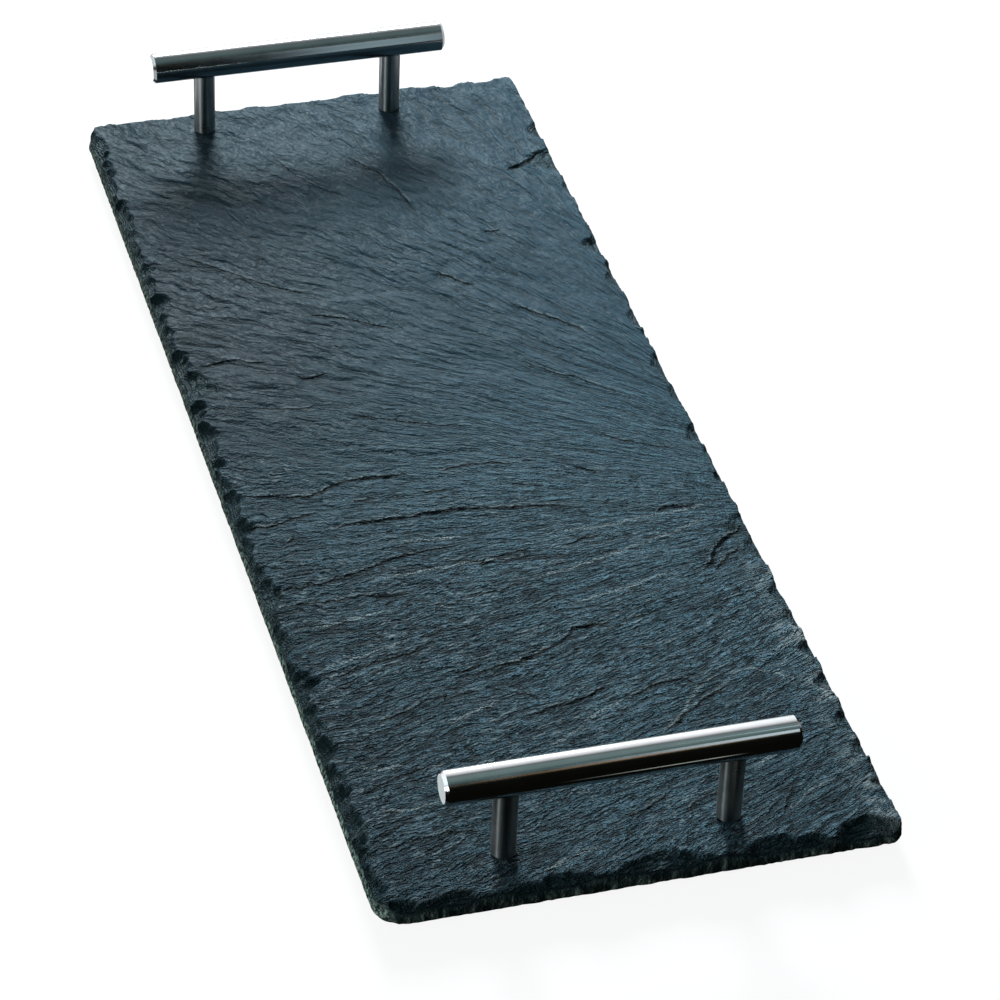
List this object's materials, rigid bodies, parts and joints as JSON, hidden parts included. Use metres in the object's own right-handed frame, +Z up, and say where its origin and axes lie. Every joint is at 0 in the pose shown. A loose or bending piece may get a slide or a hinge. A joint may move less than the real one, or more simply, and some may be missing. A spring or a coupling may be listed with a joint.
{
  "type": "slate serving board",
  "caption": "Long thin riven slate board with dressed edges and a low polished bar handle on posts at each end, on rubber feet.",
  "frame": {"origin": "middle of the ground plane under the feet, below the centre of the slate", "axes": "+Y along the board from the front handle to the back handle, +Z up, +X to the right seen from the front"},
  "size_m": [0.15, 0.4, 0.04],
  "materials": {
    "slate": "riven, matt, oiled blue grey",
    "polished_steel": "polished",
    "zinc_steel": "zinc plated",
    "foot_rubber": "matt"
  },
  "bodies": {
    "root": {"slate_board": "slate", "front_grip_bar": "polished_steel", "back_grip_bar": "polished_steel", "front_left_post": "polished_steel", "front_right_post": "polished_steel", "back_left_post": "polished_steel", "back_right_post": "polished_steel", "front_left_stud": "zinc_steel", "front_right_stud": "zinc_steel", "back_left_stud": "zinc_steel", "back_right_stud": "zinc_steel", "front_left_screw": "zinc_steel", "front_right_screw": "zinc_steel", "back_left_screw": "zinc_steel", "back_right_screw": "zinc_steel", "front_left_washer": "zinc_steel", "front_right_washer": "zinc_steel", "back_left_washer": "zinc_steel", "back_right_washer": "zinc_steel", "front_left_foot": "foot_rubber", "front_right_foot": "foot_rubber", "back_left_foot": "foot_rubber", "back_right_foot": "foot_rubber"}
  },
  "joints": []
}
